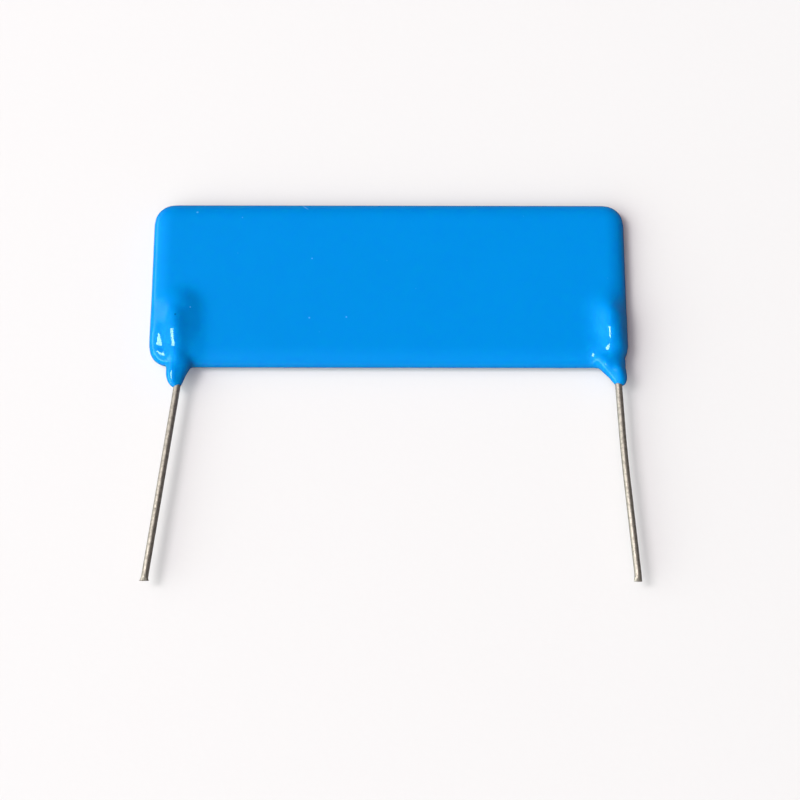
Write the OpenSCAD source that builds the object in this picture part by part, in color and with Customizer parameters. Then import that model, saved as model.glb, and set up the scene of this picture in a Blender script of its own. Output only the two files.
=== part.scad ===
// Flat high-voltage resistor with radial leads: a printed alumina plate with two
// soldered wires, dipped in epoxy. It lies on its flat back, face up, leads to -Y.
// The origin is the middle of the flat back of the epoxy. All lengths in mm.

/* [Ceramic plate] */
// Width of the plate, along X
plate_w = 53.4; // [40:0.1:80]
// Height of the plate, along Y
plate_h = 18; // [14:0.1:40]
// Thickness of the plate
plate_t = 1; // [0.6:0.05:2]
// Radius of the plate's corners
plate_corner_r = 1; // [0.5:0.1:2]

/* [Printed layers] */
// Width of each silver pad, inwards from the end of the plate
pad_w = 4; // [3.2:0.1:6]
// Bare ceramic between a pad and the long edges of the plate
pad_margin = 0.4; // [0.2:0.1:2]
// Thickness of the pads and of the resistor track
film_t = 0.03; // [0.02:0.01:0.1]
// Width of the resistor track
track_w = 0.7; // [0.3:0.05:1.5]
// Gap between neighbouring legs of the track
track_gap = 0.7; // [0.3:0.05:1.5]
// Bare ceramic between the track and the long edges of the plate
track_margin = 1.6; // [1.2:0.1:4]
// How far the glass reaches past the track towards the long edges
glaze_rim = 0.6; // [0.2:0.1:1]
// Thickness of the glass over the track
glaze_cover = 0.03; // [0.02:0.01:0.1]

/* [Leads] */
// Diameter of the tinned wire
wire_d = 0.8; // [0.5:0.05:1]
// Length of wire that lies on the plate
seat_len = 6.9; // [4:0.1:12]
// Distance of the left wire from the left end of the plate, at the plate's lower edge
left_inset = 2.05; // [1.2:0.05:2.6]
// Distance of the right wire from the right end of the plate, at the plate's lower edge
right_inset = 0.7; // [0.5:0.05:2.6]
// Splay of the left wire on the plate, in degrees, outwards positive
left_seat_splay = -2; // [-3:0.1:3]
// Splay of the right wire on the plate, in degrees, outwards positive
right_seat_splay = 2.4; // [-3:0.1:3]
// Splay of the left lead's free end, in degrees, outwards positive
left_free_splay = 7.1; // [4:0.1:12]
// Splay of the right lead's free end, in degrees, outwards positive
right_free_splay = 4.4; // [4:0.1:12]
// Distance from the body's lower edge to the left lead's bend
left_bend_at = 1.8; // [0.5:0.1:12]
// Distance from the body's lower edge to the right lead's bend
right_bend_at = 9.9; // [0.5:0.1:12]
// Radius of the left lead's bend, to the middle of the wire
left_bend_r = 6; // [5:0.5:60]
// Radius of the right lead's bend, to the middle of the wire
right_bend_r = 40; // [5:0.5:60]
// How much the wire's radius is drawn down in a bend
bend_thinning = 0.01; // [0.005:0.005:0.03]
// Distance from the body's lower edge to the tips of the leads
lead_reach = 25.3; // [18:0.1:40]
// Slant of the cut at the tips, in degrees
cut_slant = 14; // [0:1:30]

/* [Solder] */
// Thickness of the solder under the wire
solder_film = 0.05; // [0.03:0.01:0.15]
// Width of the solder fillet beside the wire, at the pad
solder_foot = 0.6; // [0.3:0.05:0.8]

/* [Epoxy] */
// Epoxy past the left end of the plate
cover_left = 1.4; // [0.8:0.05:3]
// Epoxy past the right end of the plate
cover_right = 0.8; // [0.8:0.05:3]
// Epoxy past each long edge of the plate
cover_long = 1.2; // [1:0.05:3]
// Epoxy under the plate, down to the flat back
cover_back = 0.7; // [0.5:0.05:1.5]
// Epoxy over the glass, up to the flat face
cover_face = 0.64; // [0.5:0.01:1.5]
// Epoxy over the inner ends of the wires, up to the top of the ridges
cover_wire = 0.95; // [0.4:0.05:1.2]
// Epoxy over the wires where they leave the body
cover_exit = 0.45; // [0.3:0.05:0.7]
// Radius of the body's corners, seen from above
corner_r = 2.6; // [1.6:0.1:2.8]
// Width of the band that the rounded rim takes
rim_w = 2; // [1:0.1:2.2]
// Half width of the ridge over each wire
ridge_w = 2; // [1.3:0.1:2.2]
// Length over which a ridge rises from the face
ridge_rise = 3.2; // [1.5:0.1:4]
// Length of the drip round the left lead
left_drip = 2.9; // [1:0.1:3.5]
// Half width of the drip round the left lead
left_drip_w = 1.25; // [1:0.05:1.6]
// Length of the drip round the right lead
right_drip = 2.6; // [1:0.1:3.5]
// Half width of the drip round the right lead
right_drip_w = 1.3; // [1:0.05:1.6]

/* [Hidden] */
$fn = 96;

// Overall sizes of the epoxy and the place of the plate in it
body_w = plate_w + cover_left + cover_right;
body_h = plate_h + 2 * cover_long;
plate_x = (cover_left - cover_right) / 2;
plate_left = plate_x - plate_w / 2;
plate_right = plate_x + plate_w / 2;
plate_low = -plate_h / 2;
body_low = -body_h / 2;

// Heights of the layers
film_z = cover_back + plate_t;
pad_z = film_z + film_t;
glaze_t = film_t + glaze_cover;
wire_r = wire_d / 2;
wire_z = pad_z + solder_film + wire_r;
face_z = film_z + glaze_t + cover_face;
ridge_z = wire_z + wire_r + cover_wire;
exit_z = wire_z + wire_r + cover_exit;
seam_z = face_z / 2;

// The leads: which side, where they cross the plate's lower edge, and their angles
LEFT = -1;
RIGHT = 1;
seat_top = plate_low + seat_len;
function seat_x(side) = side == LEFT ? plate_left + left_inset : plate_right - right_inset;
function seat_splay(side) = side == LEFT ? left_seat_splay : right_seat_splay;
function free_splay(side) = side == LEFT ? left_free_splay : right_free_splay;
function bend_at(side) = side == LEFT ? left_bend_at : right_bend_at;
function bend_r(side) = side == LEFT ? left_bend_r : right_bend_r;
bend_lap = 0.02;
function wire_x(side, y) = seat_x(side) + side * (plate_low - y) * tan(seat_splay(side));

// The resistor track: straight legs along Y, joined in turn at their ends
track_left = plate_left + pad_w;
track_right = plate_right - pad_w;
track_half = plate_h / 2 - track_margin;
leg_pitch = track_w + track_gap;
legs = floor((track_right - track_left - track_gap) / leg_pitch);
leg_start = (track_left + track_right - (legs - 1) * leg_pitch) / 2;

// ---- Shape of the epoxy skin ----
// The skin is one mesh of stations along X. Each station is a loop of points: over
// the face from the lower edge to the upper one, then back under the body.
rim_steps = 9;
first_step = 0.7;
ridge_step = 0.35;
ridge_foot = 2.4;
ridge_zone = cover_left + pad_w + ridge_foot;
middle_steps = 12;
row_steps = 36;

// How round the ridges and drips are across their tops: higher is squarer
ridge_power = 2;
left_drip_power = 2;
right_drip_power = 4;
// Share of the wire's seat that the ridge covers at its full height
crest_share = 0.3;
crest_end = seat_top - crest_share * seat_len;
// The back lifts off the floor from a little above the body's lower edge
lift_start = body_low + 0.5;
drip_blend = 1.5;

// Rises from 0 to 1 as t goes from 0 to 1, level at both ends
function ease(t) = let (c = min(1, max(0, t))) c * c * (3 - 2 * c);
// A quarter ellipse: 0 at the outline, 1 from `reach` inwards
function rounding(inset, reach) = let (c = min(1, max(0, inset / reach))) sqrt(1 - pow(1 - c, 2));
// A bump of height 1 that falls away on both sides; a higher power has a flatter top
function bump(offset, half_w, power) = exp(-pow(abs(offset) / half_w, power));

// Half height of the plain rounded rectangle at x
function plan_half(x) =
    let (inset = min(corner_r, body_w / 2 - abs(x)))
    body_h / 2 - corner_r + sqrt(pow(corner_r, 2) - pow(corner_r - inset, 2));
// Lower outline at x, with the drips
function lower_edge(x) = -plan_half(x)
    - left_drip * bump(x - wire_x(LEFT, body_low), left_drip_w, left_drip_power)
    - right_drip * bump(x - wire_x(RIGHT, body_low), right_drip_w, right_drip_power);

// 1 in the drips, past the body's lower edge, and 0 on the body
function in_drip(y) = ease((body_low - y) / drip_blend);
function ridge(side, x, y) =
    bump(x - wire_x(side, y), ridge_w, ridge_power) * ease((seat_top + ridge_rise / 2 - y) / ridge_rise);
// Top of the ridges: it falls from the end of the crest to the body's lower edge
function ridge_top(y) = ridge_z - (ridge_z - exit_z) * ease((crest_end - y) / (crest_end - body_low));
function crown(x, y) = face_z + (ridge_top(y) - face_z) * (ridge(LEFT, x, y) + ridge(RIGHT, x, y));
function seam(y) = seam_z + (wire_z - seam_z) * in_drip(y);
function floor_z(y) = (2 * wire_z - exit_z) * ease((lift_start - y) / drip_blend);
// How full the section is: 0 on the outline, 1 away from every edge
function fullness(x, y) =
    rounding(body_w / 2 - abs(x), rim_w) * rounding(y - lower_edge(x), rim_w)
    * rounding(plan_half(x) - y, rim_w);
function skin_top(x, y) = seam(y) + (crown(x, y) - seam(y)) * fullness(x, y);
function skin_back(x, y) = seam(y) - (seam(y) - floor_z(y)) * fullness(x, y);

// Distances of the stations from either end: close over the rim and the ridges
end_insets = concat(
    [for (i = [first_step, each [1 : rim_steps]]) rim_w * (1 - cos(90 * i / rim_steps))],
    [for (inset = [rim_w + ridge_step : ridge_step : ridge_zone]) inset]);
middle_half = body_w / 2 - end_insets[len(end_insets) - 1];
stations = concat(
    [for (inset = end_insets) -body_w / 2 + inset],
    [for (i = [1 : middle_steps - 1]) middle_half * (2 * i / middle_steps - 1)],
    [for (i = [len(end_insets) - 1 : -1 : 0]) body_w / 2 - end_insets[i]]);

function row_y(x, j) =
    let (share = (1 - cos(180 * j / row_steps)) / 2)
    lower_edge(x) + (plan_half(x) - lower_edge(x)) * share;
function station_loop(x) = concat(
    [for (j = [0 : row_steps]) let (y = row_y(x, j)) [x, y, skin_top(x, y)]],
    [for (j = [row_steps - 1 : -1 : 1]) let (y = row_y(x, j)) [x, y, skin_back(x, y)]]);

module epoxy_skin() {
    loops = [for (x = stations) station_loop(x)];
    around = 2 * row_steps;
    last = len(stations) - 1;
    points = [for (loop = loops) each loop];
    sides = [for (i = [0 : last - 1], j = [0 : around - 1])
        let (a = i * around + j, b = i * around + (j + 1) % around, c = b + around, d = a + around)
        each [[a, b, c], [a, c, d]]];
    start_cap = [for (j = [around - 1 : -1 : 0]) j];
    end_cap = [for (j = [0 : around - 1]) last * around + j];
    polyhedron(points = points, faces = concat([start_cap, end_cap], sides), convexity = 4);
}

// ---- Leads ----
// A straight wire along -Y, from y = start
module straight_wire(start, length) {
    translate([0, start, 0]) rotate([90, 0, 0]) cylinder(r = wire_r, h = length + start);
}

// A bend that leaves the origin towards -Y and turns to +X
module bent_wire(radius, turn) {
    translate([radius, 0, 0]) rotate([0, 0, 180]) rotate_extrude(angle = turn)
        translate([radius, 0]) circle(r = wire_r - bend_thinning);
}

// A straight wire whose far end is cut off on a slant
module cut_wire(start, length) {
    difference() {
        straight_wire(start, length);
        translate([0, wire_r * tan(cut_slant) - length, 0]) rotate([-cut_slant, 0, 0])
            translate([-wire_d, -wire_d, -wire_d]) cube([2 * wire_d, wire_d, 2 * wire_d]);
    }
}

// The wire from its inner end: straight on the plate, one bend, straight to the tip.
// It is drawn for a lead that splays to +X, and mirrored for the left one. The thinner
// bend runs a little way into both straight lengths.
module lead(side) {
    turn = free_splay(side) - seat_splay(side);
    radius = bend_r(side);
    first = (seat_top - body_low + bend_at(side)) / cos(seat_splay(side));
    arc_drop = radius * (sin(free_splay(side)) - sin(seat_splay(side)));
    free = (lead_reach - bend_at(side) - arc_drop) / cos(free_splay(side));
    color("silver")
    mirror([side == LEFT ? 1 : 0, 0, 0])
    translate([side * wire_x(side, seat_top), seat_top, wire_z])
    rotate([0, 0, seat_splay(side)]) {
        straight_wire(0, first + bend_lap);
        translate([0, -first, 0]) bent_wire(radius, turn);
        translate([radius, -first, 0]) rotate([0, 0, turn]) translate([-radius, 0, 0])
            cut_wire(bend_lap, free);
    }
}

// ---- Plate and printed layers ----
module rounded_plate_outline() {
    translate([plate_left + plate_corner_r, plate_low])
        square([plate_w - 2 * plate_corner_r, plate_h]);
    translate([plate_left, plate_low + plate_corner_r])
        square([plate_w, plate_h - 2 * plate_corner_r]);
    for (sx = [-1, 1], sy = [-1, 1])
        translate([plate_x + sx * (plate_w / 2 - plate_corner_r), sy * (plate_h / 2 - plate_corner_r)])
            circle(r = plate_corner_r);
}

module plate_solid() {
    translate([0, 0, cover_back]) linear_extrude(plate_t) rounded_plate_outline();
}

module pad_outline(side) {
    intersection() {
        rounded_plate_outline();
        translate([side == LEFT ? plate_left : track_right, plate_low + pad_margin])
            square([pad_w, plate_h - 2 * pad_margin]);
    }
}

module pad(side) {
    translate([0, 0, film_z]) linear_extrude(film_t) pad_outline(side);
}

// The meander, with a short run from each pad to the nearest leg
module track_outline() {
    for (i = [0 : legs - 1])
        translate([leg_start + i * leg_pitch - track_w / 2, -track_half])
            square([track_w, 2 * track_half]);
    for (i = [0 : legs - 2])
        translate([leg_start + i * leg_pitch, i % 2 == 0 ? track_half - track_w : -track_half])
            square([leg_pitch, track_w]);
    translate([track_left, -track_half]) square([leg_start - track_left, track_w]);
    translate([leg_start + (legs - 1) * leg_pitch, legs % 2 == 0 ? -track_half : track_half - track_w])
        square([track_right - leg_start - (legs - 1) * leg_pitch, track_w]);
}

module track_solid() {
    translate([0, 0, film_z]) linear_extrude(film_t) track_outline();
}

module glaze_outline() {
    translate([track_left, -track_half - glaze_rim])
        square([track_right - track_left, 2 * (track_half + glaze_rim)]);
}

module glaze_block() {
    translate([0, 0, film_z]) linear_extrude(glaze_t) glaze_outline();
}

// ---- Solder ----
// How far the solder climbs the wire, as a share of the wire's radius
solder_climb = 1.5;

// Half of the joint's section: the wire's side, sloping hollow down to the pad
module fillet_half_section() {
    top = solder_film + solder_climb * wire_r;
    foot = wire_r + solder_foot;
    hollow_r = (pow(solder_foot, 2) + pow(top, 2)) / (2 * solder_foot);
    difference() {
        square([foot, top]);
        translate([wire_r + hollow_r, top]) circle(r = hollow_r);
    }
}

module fillet_section() {
    fillet_half_section();
    mirror([1, 0]) fillet_half_section();
}

// The solder before the wire is taken out of it
module solder_block(side) {
    run = seat_len - pad_margin;
    intersection() {
        translate([wire_x(side, seat_top), seat_top, pad_z])
        rotate([0, 0, side * seat_splay(side)]) {
            rotate([90, 0, 0]) linear_extrude(run) fillet_section();
            rotate_extrude(angle = 180) fillet_half_section();
        }
        translate([0, 0, pad_z]) linear_extrude(wire_d + solder_film) pad_outline(side);
    }
}

// ---- Nodes ----
module coating() {
    color([0, 0.56, 0.9])
    difference() {
        epoxy_skin();
        plate_solid();
        pad(LEFT);
        pad(RIGHT);
        glaze_block();
        solder_block(LEFT);
        solder_block(RIGHT);
        lead(LEFT);
        lead(RIGHT);
    }
}

module substrate() {
    color("white") plate_solid();
}

module left_termination() {
    color("lightgray") pad(LEFT);
}

module right_termination() {
    color("lightgray") pad(RIGHT);
}

module resistor_track() {
    color([0.12, 0.12, 0.13]) track_solid();
}

module overglaze() {
    color([0.25, 0.45, 0.35])
    difference() {
        glaze_block();
        track_solid();
    }
}

module left_solder() {
    color([0.75, 0.75, 0.74])
    difference() {
        solder_block(LEFT);
        lead(LEFT);
    }
}

module right_solder() {
    color([0.75, 0.75, 0.74])
    difference() {
        solder_block(RIGHT);
        lead(RIGHT);
    }
}

module left_lead() {
    lead(LEFT);
}

module right_lead() {
    lead(RIGHT);
}

coating();
substrate();
left_termination();
right_termination();
resistor_track();
overglaze();
left_solder();
right_solder();
left_lead();
right_lead();
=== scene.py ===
"""Flat high-voltage resistor in dipped blue epoxy: finish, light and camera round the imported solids.

Lengths are written in millimetres and turned into metres by mm(). The frame is the solids' own:
the epoxy's flat back lies at z = 0, the leads leave towards -Y and +Z is up.
"""
import math

import bmesh
import bpy
from mathutils import Matrix, Vector


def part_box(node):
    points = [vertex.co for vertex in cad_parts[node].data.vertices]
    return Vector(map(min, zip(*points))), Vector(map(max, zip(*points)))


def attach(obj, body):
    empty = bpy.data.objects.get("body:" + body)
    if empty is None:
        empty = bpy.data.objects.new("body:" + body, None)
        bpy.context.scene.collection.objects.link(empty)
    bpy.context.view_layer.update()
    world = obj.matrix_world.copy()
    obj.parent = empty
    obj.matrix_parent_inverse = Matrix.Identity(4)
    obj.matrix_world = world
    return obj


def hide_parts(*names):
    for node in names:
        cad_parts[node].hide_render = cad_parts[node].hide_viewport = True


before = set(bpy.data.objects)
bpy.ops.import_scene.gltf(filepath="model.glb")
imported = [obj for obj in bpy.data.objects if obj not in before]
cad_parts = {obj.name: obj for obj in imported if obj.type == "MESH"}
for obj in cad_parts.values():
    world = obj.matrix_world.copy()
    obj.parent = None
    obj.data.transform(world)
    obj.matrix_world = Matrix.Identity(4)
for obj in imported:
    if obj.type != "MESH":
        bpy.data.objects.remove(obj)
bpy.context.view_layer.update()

LEFT = -1
RIGHT = 1


def mm(*values):
    """Millimetres as metres: one number, or a vector of two or three."""
    if len(values) == 1:
        return values[0] / 1000
    return Vector(values) / 1000


# ---- Modelling by hand: small helpers round Blender's own tools ----
def start_on(piece):
    bpy.ops.object.select_all(action="DESELECT")
    bpy.context.view_layer.objects.active = piece
    piece.select_set(True)


def edit(piece):
    start_on(piece)
    bpy.ops.object.mode_set(mode="EDIT")


def leave_edit():
    bpy.ops.object.mode_set(mode="OBJECT")


def pick(kind, test):
    """Selects only the vertices, edges or faces that pass the test."""
    bpy.ops.mesh.select_mode(type=kind)
    bpy.ops.mesh.select_all(action="DESELECT")
    data = bpy.context.edit_object.data
    mesh = bmesh.from_edit_mesh(data)
    for item in {"VERT": mesh.verts, "EDGE": mesh.edges, "FACE": mesh.faces}[kind]:
        if test(item):
            item.select_set(True)
    bmesh.update_edit_mesh(data)


def new_piece(name):
    """Names the primitive that was just added and puts its place into its mesh."""
    piece = bpy.context.active_object
    piece.name = name
    piece.data.name = name
    bpy.ops.object.transform_apply(location=True, rotation=True, scale=True)
    return piece


def apply_modifier(piece, kind, **settings):
    start_on(piece)
    modifier = piece.modifiers.new(kind.lower(), kind)
    for key, value in settings.items():
        setattr(modifier, key, value)
    bpy.ops.object.modifier_apply(modifier=modifier.name)


def tube(name, rings, sides):
    """A round bar along -Y: one ring after another is extruded, moved and sized.

    A ring is its middle (x, y, z), its half width and its half height. The circle that it
    starts from has a radius of 1 mm, so a ring's half sizes are also its factors.
    """
    (x, y, z), half_w, half_h = rings[0]
    bpy.ops.mesh.primitive_circle_add(
        vertices=sides, radius=mm(1), fill_type="NGON", location=mm(x, y, z),
        rotation=(math.radians(90), 0, 0))
    piece = new_piece(name)
    edit(piece)
    bpy.ops.mesh.select_all(action="SELECT")
    place = mm(x, y, z)
    bpy.ops.transform.resize(value=(half_w, 1, half_h), center_override=place)
    last = (half_w, half_h)
    for (x, y, z), half_w, half_h in rings[1:]:
        step = mm(x, y, z) - place
        bpy.ops.mesh.extrude_region_move(TRANSFORM_OT_translate={"value": step})
        place = place + step
        bpy.ops.transform.resize(value=(half_w / last[0], 1, half_h / last[1]), center_override=place)
        last = (half_w, half_h)
    bpy.ops.mesh.select_all(action="SELECT")
    bpy.ops.mesh.normals_make_consistent(inside=False)
    leave_edit()
    return piece


# ---- The wires' course, seen from above ----
WIRE_R = 0.4
WIRE_Z = 2.18
WIRE_SIDES = 24
# Where the wires' inner ends and their tips are, along Y
SEAT_TOP = -2.0
TIP = -35.5
# Where each wire starts across, its splay on the plate and at its free end, in degrees,
# where its bend starts, and how long the bend is
SEAT_X = {LEFT: -24.59, RIGHT: 26.01}
SEAT_SPLAY = {LEFT: -2.0, RIGHT: 2.4}
FREE_SPLAY = {LEFT: 7.1, RIGHT: 4.4}
BEND_AT = {LEFT: -12.0, RIGHT: -17.4}
BEND_RUN = {LEFT: 0.95, RIGHT: 6.8}
# Where a bend's rings stand, as shares of its length
BEND_RINGS = (0.25, 0.5, 0.75, 1)


def wire_x(side, y):
    """Where the wire's middle is, across, at the place y along it."""
    straight = min(SEAT_TOP - y, SEAT_TOP - BEND_AT[side])
    x = SEAT_X[side] + side * straight * math.tan(math.radians(SEAT_SPLAY[side]))
    bent = min(max(BEND_AT[side] - y, 0), BEND_RUN[side])
    turned = (FREE_SPLAY[side] - SEAT_SPLAY[side]) * bent / BEND_RUN[side]
    x += side * bent * math.tan(math.radians(SEAT_SPLAY[side] + turned / 2))
    free = max(BEND_AT[side] - BEND_RUN[side] - y, 0)
    return x + side * free * math.tan(math.radians(FREE_SPLAY[side]))


# ---- The epoxy: a slab, a drip round each wire, and one skin drawn over them ----
SLAB_W = 55.6
# The long edges, along Y: the lower one sags a little
SLAB_TOP = 10.2
SLAB_LOW = -10.4
SLAB_T = 2.4
CORNER_R = 2.4
CORNER_STEPS = 16
# How far in the rounded rim reaches, seen from above, and the share of it that is bevelled,
# so that the upper bevel doesn't quite meet the lower one
RIM_REACH = 2.2
RIM_SHARE = 0.99
RIM_STEPS = 12
# The block's own edges are sharper than this, in radians, and those of its corners aren't
SHARP = 1.0
DRIP_SIDES = 32
# Width of the skin's faces, and how often it is smoothed before and after the pulls
VOXEL = 0.2
SMOOTHING = 0.5
SMOOTHED_BEFORE = 6
SMOOTHED_AFTER = 16


def slab():
    """A rounded slab. Its rim is bevelled on a thicker block, then flattened to an ellipse."""
    thick = 2 * RIM_REACH
    bpy.ops.mesh.primitive_cube_add(
        size=1, location=mm(0, (SLAB_TOP + SLAB_LOW) / 2, thick / 2),
        scale=mm(SLAB_W, SLAB_TOP - SLAB_LOW, thick))
    piece = new_piece("coating_skin")
    edit(piece)
    pick("EDGE", lambda e: abs(e.verts[0].co.z - e.verts[1].co.z) > mm(RIM_REACH))
    bpy.ops.mesh.bevel(offset=mm(CORNER_R), segments=CORNER_STEPS, affect="EDGES")
    pick("EDGE", lambda e: e.calc_face_angle(0) > SHARP)
    bpy.ops.mesh.bevel(offset=mm(RIM_REACH * RIM_SHARE), segments=RIM_STEPS, affect="EDGES")
    bpy.ops.mesh.select_all(action="SELECT")
    bpy.ops.transform.resize(value=(1, 1, SLAB_T / thick), center_override=(0, 0, 0))
    leave_edit()
    return piece


# Rings of the drips, as tube() takes them: the first ones lie inside the slab
LEFT_DRIP = [
    ((-24.2, -8.4, 1.4), 1.5, 0.8), ((-24.2, -9.6, 1.6), 1.7, 1.0),
    ((-24.2, -10.5, 1.85), 1.5, 0.98), ((-24.3, -11.1, 2.0), 1.36, 0.98),
    ((-24.45, -11.6, 2.08), 1.22, 0.94), ((-24.5, -12.15, 2.13), 1.08, 0.8),
    ((-24.45, -12.75, 2.16), 0.84, 0.68), ((-24.35, -13.2, 2.18), 0.5, 0.56)]
RIGHT_DRIP = [
    ((25.6, -8.4, 1.4), 1.3, 0.8), ((25.5, -9.6, 1.6), 1.95, 1.0),
    ((25.8, -10.6, 1.85), 1.6, 0.97), ((26.1, -11.2, 2.0), 1.4, 0.98),
    ((26.38, -11.7, 2.08), 1.18, 0.9), ((26.55, -12.2, 2.14), 0.98, 0.78),
    ((26.6, -12.65, 2.17), 0.75, 0.64), ((26.6, -12.95, 2.18), 0.5, 0.5)]
# Soft pulls that raise the skin: the ends of the line that is lifted, seen from above,
# the lift, and how far round the line the skin follows
PULLS = [
    ((-24.1, -3.2), (-24.0, -9.0), 0.44, 3.2),
    ((-25.1, -4.4), (-24.5, -8.8), 0.36, 1.6),
    ((-24.6, -3.4), (-24.6, -5.6), 0.44, 3.0),
    ((-24.5, -10.2), (-24.6, -11.2), 0.08, 1.0),
    ((-25.2, -11.2), (-25.0, -12.6), 0.2, 0.8),
    ((-27.1, -5.2), (-27.1, -6.2), 0.3, 2.4),
    ((-27.15, -6.2), (-27.3, -8.0), 0.2, 1.3),
    ((-26.9, -9.0), (-26.1, -10.1), 0.26, 1.0),
    ((25.6, -3.2), (26.0, -9.0), 0.34, 3.2),
    ((25.8, -4.4), (26.1, -8.0), 0.46, 1.7),
    ((25.8, -3.4), (25.8, -5.6), 0.28, 2.2),
    ((25.8, -3.8), (26.0, -7.0), 0.14, 1.8),
    ((27.3, -4.6), (27.35, -8.0), 0.42, 1.9),
    ((25.0, -9.2), (25.5, -9.8), 0.2, 2.0),
    ((24.3, -9.9), (24.9, -10.8), 0.24, 0.9),
    ((26.5, -11.0), (26.7, -11.8), 0.25, 0.8)]


def near(spot, start, end, reach):
    """Whether a vertex stands within reach of the line from start to end, seen from above."""
    a = mm(*start)
    b = mm(*end)
    share = min(max((spot.xy - a).dot(b - a) / (b - a).length_squared, 0), 1)
    return (a + (b - a) * share - spot.xy).length < reach


def pull_up(piece, start, end, lift, reach):
    edit(piece)
    pick("VERT", lambda v: v.normal.z > 0 and near(v.co, start, end, mm(VOXEL)))
    bpy.ops.transform.translate(
        value=mm(0, 0, lift), use_proportional_edit=True, use_proportional_connected=True,
        proportional_edit_falloff="SMOOTH", proportional_size=mm(reach))
    leave_edit()


def box_of(piece):
    places = [v.co for v in piece.data.vertices]
    low = Vector([min(p[axis] for p in places) for axis in range(3)])
    high = Vector([max(p[axis] for p in places) for axis in range(3)])
    return low, high


def fit_to(piece, low, high):
    """Sizes and moves a piece to lie exactly between two corners."""
    now_low, now_high = box_of(piece)
    factor = [(high[i] - low[i]) / (now_high[i] - now_low[i]) for i in range(3)]
    edit(piece)
    bpy.ops.mesh.select_all(action="SELECT")
    bpy.ops.transform.resize(value=factor, center_override=now_low)
    bpy.ops.transform.translate(value=low - now_low)
    leave_edit()


def coating_skin():
    pieces = [tube("drip", LEFT_DRIP, DRIP_SIDES), tube("drip", RIGHT_DRIP, DRIP_SIDES), slab()]
    start_on(pieces[-1])
    for piece in pieces:
        piece.select_set(True)
    bpy.ops.object.join()
    skin = bpy.context.active_object
    apply_modifier(skin, "REMESH", mode="VOXEL", voxel_size=mm(VOXEL))
    apply_modifier(skin, "SMOOTH", factor=SMOOTHING, iterations=SMOOTHED_BEFORE)
    for pull in PULLS:
        pull_up(skin, *pull)
    apply_modifier(skin, "SMOOTH", factor=SMOOTHING, iterations=SMOOTHED_AFTER)
    fit_to(skin, *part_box("coating"))
    start_on(skin)
    bpy.ops.object.shade_smooth()
    return skin


skin = coating_skin()
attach(skin, "root")
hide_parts("coating")


# ---- The leads: drawn wire, nipped off by side cutters at the tips ----
# Rings before the tips: distance to the tip, half width and half height as shares of
# the wire's radius, and how far the ring is moved towards the other wire
NIP = {
    LEFT: [
        (0.9, 1.0, 1.0, 0.0), (0.45, 1.02, 0.9, 0.0),
        (0.22, 1.08, 0.62, 0.0), (0.0, 1.36, 0.4, 0.0)],
    RIGHT: [
        (0.9, 1.0, 1.0, 0.0), (0.45, 1.04, 0.94, 0.03),
        (0.22, 1.12, 0.7, 0.07), (0.0, 1.12, 0.42, 0.08)]}
# Edges of the tips that turn by more than this, in degrees, stay sharp
TIP_CREASE = 50


def lead(side, name):
    """A wire along its course; its last rings are squeezed flat and wide."""
    stations = [SEAT_TOP, BEND_AT[side]]
    stations += [BEND_AT[side] - BEND_RUN[side] * share for share in BEND_RINGS]
    rings = [((wire_x(side, y), y, WIRE_Z), WIRE_R, WIRE_R) for y in stations]
    for before_tip, wide, flat, inward in NIP[side]:
        y = TIP + before_tip
        rings.append(((wire_x(side, y) - side * inward, y, WIRE_Z), WIRE_R * wide, WIRE_R * flat))
    piece = tube(name, rings, WIRE_SIDES)
    start_on(piece)
    bpy.ops.object.shade_smooth_by_angle(angle=math.radians(TIP_CREASE))
    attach(piece, "root")
    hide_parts(name)
    return piece


leads = [lead(LEFT, "left_lead"), lead(RIGHT, "right_lead")]


# ---- Shader graphs: sockets that can be used in plain arithmetic ----
class Value:
    """One number in a shader graph, with the operators of ordinary numbers."""

    def __init__(self, graph, socket):
        self.graph = graph
        self.socket = socket

    def _with(self, operation, first, second):
        return self.graph.math(operation, first, second)

    def __add__(self, other):
        return self._with("ADD", self, other)

    __radd__ = __add__

    def __sub__(self, other):
        return self._with("SUBTRACT", self, other)

    def __rsub__(self, other):
        return self._with("SUBTRACT", other, self)

    def __mul__(self, other):
        return self._with("MULTIPLY", self, other)

    __rmul__ = __mul__

    def __truediv__(self, other):
        return self._with("DIVIDE", self, other)

    def __rtruediv__(self, other):
        return self._with("DIVIDE", other, self)

    def __pow__(self, other):
        return self._with("POWER", self, other)

    def __rpow__(self, other):
        return self._with("POWER", other, self)

    def highest(self, other):
        return self._with("MAXIMUM", self, other)

    def lowest(self, other):
        return self._with("MINIMUM", self, other)

    def step(self, start, end):
        """0 up to start, 1 from end on, smooth between; start may be above end."""
        share = self.graph.node(
            "ShaderNodeMapRange", {"interpolation_type": "SMOOTHSTEP"},
            Value=self, From_Min=min(start, end), From_Max=max(start, end),
            To_Min=0 if start < end else 1, To_Max=1 if start < end else 0)
        return Value(self.graph, share.outputs["Result"])


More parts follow.
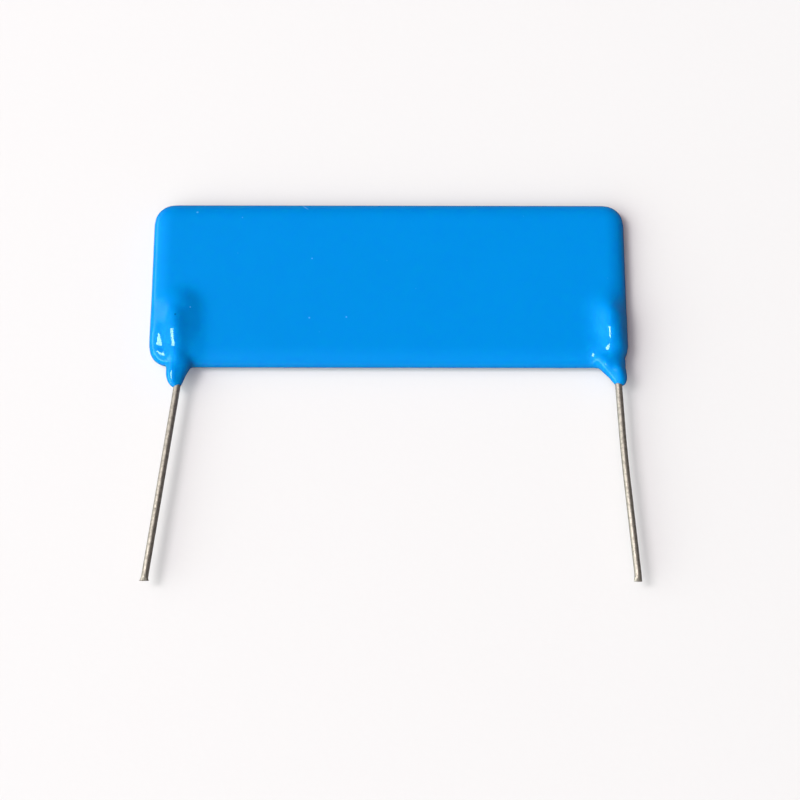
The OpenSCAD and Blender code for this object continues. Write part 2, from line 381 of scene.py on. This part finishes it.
class Graph:
    """A node tree that is built by calls."""

    def __init__(self, tree):
        self.tree = tree

    def node(self, kind, settings=None, **inputs):
        """Adds a node: its settings first, then values or links for its named inputs."""
        made = self.tree.nodes.new(kind)
        for key, setting in (settings or {}).items():
            setattr(made, key, setting)
        for key, given in inputs.items():
            self.put(made.inputs[key.replace("_", " ")], given)
        return made

    def put(self, socket, given):
        if isinstance(given, Value):
            given = given.socket
        if isinstance(given, bpy.types.NodeSocket):
            self.tree.links.new(given, socket)
        else:
            socket.default_value = given

    def math(self, operation, *values):
        made = self.node("ShaderNodeMath", {"operation": operation})
        for socket, given in zip(made.inputs, values):
            self.put(socket, given)
        return Value(self, made.outputs[0])

    def place(self):
        """Object coordinates, in metres of the shared frame."""
        return self.node("ShaderNodeTexCoord").outputs["Object"]

    def axes(self, place):
        made = self.node("ShaderNodeSeparateXYZ", Vector=place)
        return [Value(self, made.outputs[axis]) for axis in "XYZ"]

    def vector(self, operation, first, second):
        """The node that does one vector operation on two vectors."""
        made = self.node("ShaderNodeVectorMath", {"operation": operation})
        self.put(made.inputs[0], first)
        self.put(made.inputs[1], second)
        return made

    def ray(self, kind):
        """1 for rays of one kind, such as Camera or Glossy, and 0 for all others."""
        return Value(self, self.node("ShaderNodeLightPath").outputs[f"Is {kind} Ray"])

    def noise(self, place, size, detail=2.0, roughness=0.5):
        """Noise between 0 and 1 whose grains are about `size` millimetres."""
        made = self.node(
            "ShaderNodeTexNoise", Vector=place, Scale=1 / mm(size), Detail=detail, Roughness=roughness)
        return Value(self, made.outputs["Fac"])

    def specks(self, place, cell, outer, inner, rare, sure):
        """1 in scattered round specks and 0 between them.

        There is one point to a cell of `cell` millimetres. A speck fades in from outer to
        inner, in cells, and shows where its cell's chance lies above rare, fully above sure.
        """
        made = self.node("ShaderNodeTexVoronoi", Vector=place, Scale=1 / mm(cell))
        chance = self.axes(made.outputs["Color"])[0]
        return Value(self, made.outputs["Distance"]).step(outer, inner) * chance.step(rare, sure)

    def blend(self, share, first, second):
        """A colour that goes from the first to the second as share goes from 0 to 1."""
        made = self.node("ShaderNodeMix", {"data_type": "RGBA"})
        self.put(made.inputs["Factor"], share)
        colour_inputs = [socket for socket in made.inputs if socket.type == "RGBA"]
        for socket, given in zip(colour_inputs, (first, second)):
            self.put(socket, (*given, 1) if isinstance(given, tuple) and len(given) == 3 else given)
        return [socket for socket in made.outputs if socket.type == "RGBA"][0]

    def bump(self, height, depth):
        """A normal from a height of 0 to 1 that stands `depth` millimetres high."""
        return self.node("ShaderNodeBump", Distance=mm(depth), Height=height).outputs["Normal"]


def surface(name, build, **constants):
    """A Principled material: constants by input name, the varying inputs from build(graph)."""
    made = bpy.data.materials.new(name)
    made.use_nodes = True
    shader = made.node_tree.nodes["Principled BSDF"]
    graph = Graph(made.node_tree)
    for key, given in {**constants, **build(graph)}.items():
        graph.put(shader.inputs[key.replace("_", " ")], given)
    return made


# ---- The epoxy's finish: even blue, a few marks with painted highlights, a little dust and soft ripples ----
EPOXY_BLUE = (0.0, 0.265, 0.72)
EPOXY_DEEP = (0.0, 0.255, 0.695)
# The pale colour of the dust, and of the nibs and the scratch, where it is partly a painted highlight
EPOXY_NIB_AND_HIGHLIGHT = (0.09, 0.4, 0.88)
EPOXY_PIT = (0.0, 0.12, 0.42)
# Nibs, painted pale partly as a painted highlight on them, and a dark pit in the face: the middle (x,
# y) and the radius
NIBS = [
    ((-22.65, 8.9), 0.12), ((-17.3, 8.2), 0.07), ((-9.0, 3.0), 0.09),
    ((-9.2, -4.4), 0.1), ((-4.9, -4.3), 0.1), ((-23.0, -3.3), 0.09)]
PIT = ((-24.65, -4.4), 0.12)
# A round mark fades in between these shares of its radius
MARK_OUTER = 1.4
MARK_INNER = 0.5
# A short scratch, painted pale partly as a painted highlight: its ends, and its half width where it
# starts to show and where it shows fully. It starts a little before its first end and fades past a
# share of its length.
SCRATCH = ((-10.2, 9.9), (-9.4, 9.2))
SCRATCH_OUTER = 0.08
SCRATCH_INNER = 0.02
SCRATCH_BEFORE = 0.1
SCRATCH_FADE = 0.5
# How strongly the dust shows
DUST_SHOWS = 0.35
# Roughness where the epoxy is glossiest, and how much more it has elsewhere
GLOSSIEST = 0.012
GLOSS_SPREAD = 0.03
# Height of the ripples and nibs
EPOXY_RELIEF = 0.008


def round_mark(x, y, centre, radius):
    """1 in a round mark on the face and 0 outside it."""
    apart = ((x - mm(centre[0])) ** 2 + (y - mm(centre[1])) ** 2) ** 0.5
    return apart.step(mm(radius) * MARK_OUTER, mm(radius) * MARK_INNER)


def scratch_mark(x, y):
    """1 in the scratch and 0 outside it."""
    (ax, ay), (bx, by) = SCRATCH
    length = math.hypot(bx - ax, by - ay)
    along = ((x - mm(ax)) * (bx - ax) + (y - mm(ay)) * (by - ay)) / length
    off = ((x - mm(ax)) * (by - ay) - (y - mm(ay)) * (bx - ax)) / length
    beside = (off ** 2).step(mm(SCRATCH_OUTER) ** 2, mm(SCRATCH_INNER) ** 2)
    start = along.step(mm(-SCRATCH_BEFORE), 0)
    end = along.step(mm(length), mm(length * SCRATCH_FADE))
    return beside * start * end


def epoxy(graph):
    place = graph.place()
    x, y = graph.axes(place)[:2]
    pale_marks_and_highlights = scratch_mark(x, y)
    for centre, radius in NIBS:
        pale_marks_and_highlights = pale_marks_and_highlights.highest(round_mark(x, y, centre, radius))
    dust = graph.specks(place, cell=1.6, outer=0.06, inner=0.02, rare=0.8, sure=0.82)
    clouds = graph.noise(place, size=9.0)
    ripples = graph.noise(place, size=2.5, detail=1.0)
    patches = graph.noise(place, size=4.0)
    colour = graph.blend(clouds, EPOXY_DEEP, EPOXY_BLUE)
    # The nibs and the scratch are painted pale, partly as a painted highlight on them; the dust is
    # pale of its own
    colour = graph.blend((pale_marks_and_highlights + dust * DUST_SHOWS).lowest(1), colour, EPOXY_NIB_AND_HIGHLIGHT)
    colour = graph.blend(round_mark(x, y, *PIT), colour, EPOXY_PIT)
    return {
        "Base Color": colour, "Roughness": patches * GLOSS_SPREAD + GLOSSIEST,
        "Normal": graph.bump((ripples + pale_marks_and_highlights) / 2, EPOXY_RELIEF)}


# ---- The wires' finish: tin with streaks from drawing, dull stains and dark specks ----
TIN_LIGHT = (0.69, 0.605, 0.53)
TIN_DARK = (0.28, 0.235, 0.2)
# The streaks' grain is stretched along the wire
STREAK_STRETCH = (1.0, 0.12, 1.0)
# The noise at which a stain starts and is full, how strongly stains and specks show,
# and how high a speck stands beside the streaks
STAIN_FROM = 0.45
STAIN_FULL = 0.62
STAIN_SHOWS = 0.4
SPECK_SHOWS = 0.45
SPECK_HEIGHT = 0.5
# Roughness of clean tin, and what streaks and stains add to it
TIN_ROUGH = 0.34
STREAK_ROUGH = 0.16
STAIN_ROUGH = 0.1
# Height of the streaks
TIN_RELIEF = 0.03


def tinned(graph):
    place = graph.place()
    along_wire = graph.vector("MULTIPLY", place, STREAK_STRETCH).outputs["Vector"]
    streaks = graph.noise(along_wire, size=0.12, detail=3.0, roughness=0.6)
    stains = graph.noise(place, size=0.5, detail=3.0, roughness=0.6).step(STAIN_FROM, STAIN_FULL)
    speck = graph.specks(place, cell=0.5, outer=0.22, inner=0.12, rare=0.7, sure=0.74)
    return {
        "Base Color": graph.blend(stains * STAIN_SHOWS + speck * SPECK_SHOWS, TIN_LIGHT, TIN_DARK),
        "Roughness": streaks * STREAK_ROUGH + stains * STAIN_ROUGH + TIN_ROUGH,
        "Normal": graph.bump(streaks + speck * SPECK_HEIGHT, TIN_RELIEF)}


# ---- Finishes of what the epoxy hides: each follows one grain ----
def grained(graph, grain, first, second, smoothest, spread, relief):
    """Goes from the first to the second colour, and from smoothest to rougher, as grain rises."""
    return {
        "Base Color": graph.blend(grain, first, second), "Roughness": grain * spread + smoothest,
        "Normal": graph.bump(grain, relief)}


def soldered(graph):
    grain = graph.noise(graph.place(), size=0.25, detail=3.0, roughness=0.6)
    return grained(
        graph, grain, first=(0.58, 0.58, 0.57), second=(0.44, 0.44, 0.44),
        smoothest=0.2, spread=0.25, relief=0.01)


def fired_ceramic(graph):
    grain = graph.noise(graph.place(), size=0.15, detail=3.0, roughness=0.6)
    return grained(
        graph, grain, first=(0.83, 0.82, 0.78), second=(0.76, 0.75, 0.71),
        smoothest=0.42, spread=0.15, relief=0.004)


def silver_print(graph):
    mesh_marks = graph.noise(graph.place(), size=0.1)
    return grained(
        graph, mesh_marks, first=(0.66, 0.65, 0.62), second=(0.52, 0.51, 0.49),
        smoothest=0.35, spread=0.2, relief=0.004)


def resistor_print(graph):
    grain = graph.noise(graph.place(), size=0.08)
    return grained(
        graph, grain, first=(0.022, 0.022, 0.026), second=(0.045, 0.045, 0.05),
        smoothest=0.45, spread=0.2, relief=0.003)


def glazed(graph):
    pools = graph.noise(graph.place(), size=3.0)
    return grained(
        graph, pools, first=(0.05, 0.16, 0.1), second=(0.035, 0.12, 0.075),
        smoothest=0.1, spread=0.06, relief=0.006)


SLOTS = {
    "blue_epoxy": surface(
        "blue_epoxy", epoxy, Specular_IOR_Level=0.5, Specular_Tint=(0.7, 1.0, 1.0, 1.0),
        Subsurface_Weight=0.6, Subsurface_Radius=(0.1, 0.4, 1.0), Subsurface_Scale=mm(1)),
    "tinned_wire": surface("tinned_wire", tinned, Metallic=0.9),
    "solder": surface("solder", soldered, Metallic=1.0),
    "alumina": surface("alumina", fired_ceramic),
    "silver_film": surface("silver_film", silver_print, Metallic=1.0),
    "resistor_film": surface("resistor_film", resistor_print),
    "green_glaze": surface("green_glaze", glazed)}
SLOT_OF = {
    "substrate": "alumina", "left_termination": "silver_film", "right_termination": "silver_film",
    "resistor_track": "resistor_film", "overglaze": "green_glaze",
    "left_solder": "solder", "right_solder": "solder"}


def dress(piece, slot):
    piece.data.materials.clear()
    piece.data.materials.append(SLOTS[slot])


dress(skin, "blue_epoxy")
for piece in leads:
    dress(piece, "tinned_wire")
for name, slot in SLOT_OF.items():
    for material_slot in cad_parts[name].material_slots:
        material_slot.material = SLOTS[slot]

# ---- Camera: nearly overhead, a little to the front ----
TILT = math.radians(17.8)
ROLL = math.radians(0.09)
TARGET = mm(1.338, -14.11, 1.4)
DISTANCE = 218.5
CLIP_START = 10
# The camera takes its lens and sensor in millimetres
LENS = 85.5
SENSOR = 36
turn = Matrix.Rotation(TILT, 3, "X") @ Matrix.Rotation(ROLL, 3, "Z")
back = Matrix.Rotation(TILT, 3, "X") @ Vector((0, 0, 1))
bpy.ops.object.camera_add(location=TARGET + back * mm(DISTANCE), rotation=turn.to_euler())
camera = bpy.context.active_object
camera.data.lens = LENS
camera.data.sensor_width = SENSOR
camera.data.clip_start = mm(CLIP_START)
bpy.context.scene.camera = camera

# ---- Floor: white paper ----
FLOOR_SIZE = 3000
# The paper's colour on its fibres and between them, and how high they stand
PAPER = (0.77, 0.717, 0.727)
PAPER_SHADE = (0.762, 0.709, 0.719)
PAPER_RELIEF = 0.012
# What the part itself gets back from the paper below, as light and as a mirror image
PAPER_DIM = (0.32, 0.32, 0.32)
PAPER_MIRRORED = (0.12, 0.12, 0.12)
# A little light of its own towards the camera, bluish, so that shadows do not sink
PAPER_GLOW = (0.05, 0.05, 0.055)
NO_GLOW = (0, 0, 0)


def paper(graph):
    fibres = graph.noise(graph.place(), size=0.8, detail=3.0, roughness=0.6)
    seen = graph.ray("Camera")
    hidden = graph.blend(graph.ray("Glossy"), PAPER_DIM, PAPER_MIRRORED)
    return {
        "Base Color": graph.blend(seen, hidden, graph.blend(fibres, PAPER, PAPER_SHADE)),
        "Emission Color": graph.blend(seen, NO_GLOW, PAPER_GLOW),
        "Normal": graph.bump(fibres, PAPER_RELIEF)}


bpy.ops.mesh.primitive_plane_add(size=mm(FLOOR_SIZE), location=(0, 0, 0))
floor = new_piece("paper")
floor.data.materials.append(
    surface("paper", paper, Roughness=0.9, Specular_IOR_Level=0.0, Emission_Strength=1.0))

# ---- Key light: a window overhead on the left, facing the part; its power is in watts ----
KEY_FROM = Vector((-0.53, -0.02, 0.85)).normalized()
KEY_DISTANCE = 800
KEY_W = 180
KEY_H = 260
KEY_POWER = 2.1
bpy.ops.object.light_add(
    type="AREA", location=KEY_FROM * mm(KEY_DISTANCE),
    rotation=KEY_FROM.to_track_quat("Z", "Y").to_euler())
key = bpy.context.active_object
key.name = "key"
key.data.shape = "RECTANGLE"
key.data.size = mm(KEY_W)
key.data.size_y = mm(KEY_H)
key.data.energy = KEY_POWER

# ---- The room: dim, with daylight that comes low from the left and a little from the front ----
ROOM_LIGHT = 0.1
DAYLIGHT = 4.0
DAYLIGHT_FROM = Vector((-0.8, -0.32, 0.5)).normalized()
# The higher, the narrower the patch of sky that the daylight comes from
DAYLIGHT_FOCUS = 3
# The daylight's own tint, the tint of the rest of the room, and how far towards the
# daylight, as a cosine, its tint starts and is full
DAY_TINT = (0.93, 1.07, 1.0)
ROOM_TINT = (1.06, 0.9, 1.0)
DAY_TINT_FROM = 0.4
DAY_TINT_FULL = 0.95
# Glossy surfaces mirror all of the room up to the low height, as the sine of its angle
# above the floor, and past the high one only a share of it
MIRRORED = 0.13
MIRRORED_LOW = 0.12
MIRRORED_HIGH = 0.46
# What the camera sees beyond the paper
BACKDROP = (0.95, 0.945, 0.945)
world = bpy.data.worlds.new("room")
bpy.context.scene.world = world
world.use_nodes = True
sky = Graph(world.node_tree)
direction = sky.node("ShaderNodeTexCoord").outputs["Generated"]
facing = sky.vector("DOT_PRODUCT", direction, DAYLIGHT_FROM)
toward = Value(sky, facing.outputs["Value"]).highest(0)
height = sky.axes(direction)[2]
unmirrored = sky.ray("Glossy") * height.step(MIRRORED_LOW, MIRRORED_HIGH) * (1 - MIRRORED)
strength = (toward ** DAYLIGHT_FOCUS * DAYLIGHT + ROOM_LIGHT) * (1 - unmirrored)
tint = sky.blend(toward.step(DAY_TINT_FROM, DAY_TINT_FULL), ROOM_TINT, DAY_TINT)
seen = sky.ray("Camera")
background = world.node_tree.nodes["Background"]
sky.put(background.inputs["Color"], sky.blend(seen, tint, BACKDROP))
sky.put(background.inputs["Strength"], strength * (1 - seen) + seen)

bpy.context.scene.view_settings.view_transform = "Standard"
